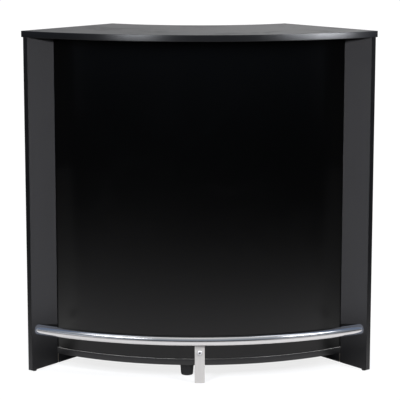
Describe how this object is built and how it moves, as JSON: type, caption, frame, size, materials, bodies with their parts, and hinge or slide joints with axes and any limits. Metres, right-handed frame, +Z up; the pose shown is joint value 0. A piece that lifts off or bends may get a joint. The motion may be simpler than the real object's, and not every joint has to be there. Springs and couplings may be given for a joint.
{
  "type": "bar cabinet",
  "caption": "Curved bar counter with a ring-segment top, a recessed curved front, a foot rail on a flat post and open shelves behind.",
  "frame": {"origin": "on the floor, under the middle of the top's bounding box", "axes": "+Z up, -Y towards the guest's side with the foot rail, +X to the right seen from there"},
  "size_m": [1.0642, 0.5174, 1.048],
  "materials": {
    "black_laminate": "fine-grained black melamine on chipboard",
    "black_sheet": "satin black lacquer on thin hardboard",
    "gloss_edge": "gloss black edge band",
    "satin_edge": "satin black edge band",
    "chrome": "bright chrome plating",
    "satin_steel": "satin flat bar",
    "black_plastic": "moulded black plastic",
    "zinc_steel": "zinc plated",
    "zinc_alloy": "raw die casting",
    "nickel": "nickel plated",
    "beech": "turned beech"
  },
  "bodies": {
    "carcass": {"bottom_board": "black_laminate", "bottom_cam_bolts": "zinc_steel", "bottom_cam_discs": "zinc_alloy", "bottom_dowels": "beech", "bottom_front_edge_band": "satin_edge", "bottom_rear_edge_band": "satin_edge", "centre_foot": "black_plastic", "divider_dowels": "beech", "divider_screws": "zinc_steel", "foot_rail": "chrome", "foot_screw": "zinc_steel", "front_panel": "black_sheet", "glide_nails": "zinc_steel", "left_shelf_pins": "nickel", "left_side_front_edge_band": "satin_edge", "left_side_panel": "black_laminate", "left_side_rear_edge_band": "satin_edge", "lower_divider": "black_laminate", "lower_divider_edge_band": "satin_edge", "middle_shelf": "black_laminate", "middle_shelf_cam_bolts": "zinc_steel", "middle_shelf_cam_discs": "zinc_alloy", "middle_shelf_dowels": "beech", "middle_shelf_edge_band": "satin_edge", "post_nut": "zinc_steel", "post_screw": "zinc_steel", "rail_end_bosses": "black_plastic", "rail_end_screws": "zinc_steel", "rail_post": "satin_steel", "right_shelf_pins": "nickel", "right_side_front_edge_band": "satin_edge", "right_side_panel": "black_laminate", "right_side_rear_edge_band": "satin_edge", "side_glides": "black_plastic", "top_cam_bolts": "zinc_steel", "top_cam_discs": "zinc_alloy", "top_dowels": "beech", "top_front_edge_band": "gloss_edge", "top_left_edge_band": "gloss_edge", "top_panel": "black_laminate", "top_rear_edge_band": "gloss_edge", "top_right_edge_band": "gloss_edge", "upper_divider": "black_laminate", "upper_divider_edge_band": "satin_edge"},
    "left_shelf": {"left_loose_shelf": "black_laminate", "left_loose_shelf_edge_band": "satin_edge"},
    "right_shelf": {"right_loose_shelf": "black_laminate", "right_loose_shelf_edge_band": "satin_edge"}
  },
  "joints": [
    {"name": "left_shelf_lift", "type": "slide", "parent": "carcass", "child": "left_shelf", "axis": [0, 0, 1], "range_m": [0, 0.064]},
    {"name": "right_shelf_lift", "type": "slide", "parent": "carcass", "child": "right_shelf", "axis": [0, 0, 1], "range_m": [0, 0.064]}
  ]
}
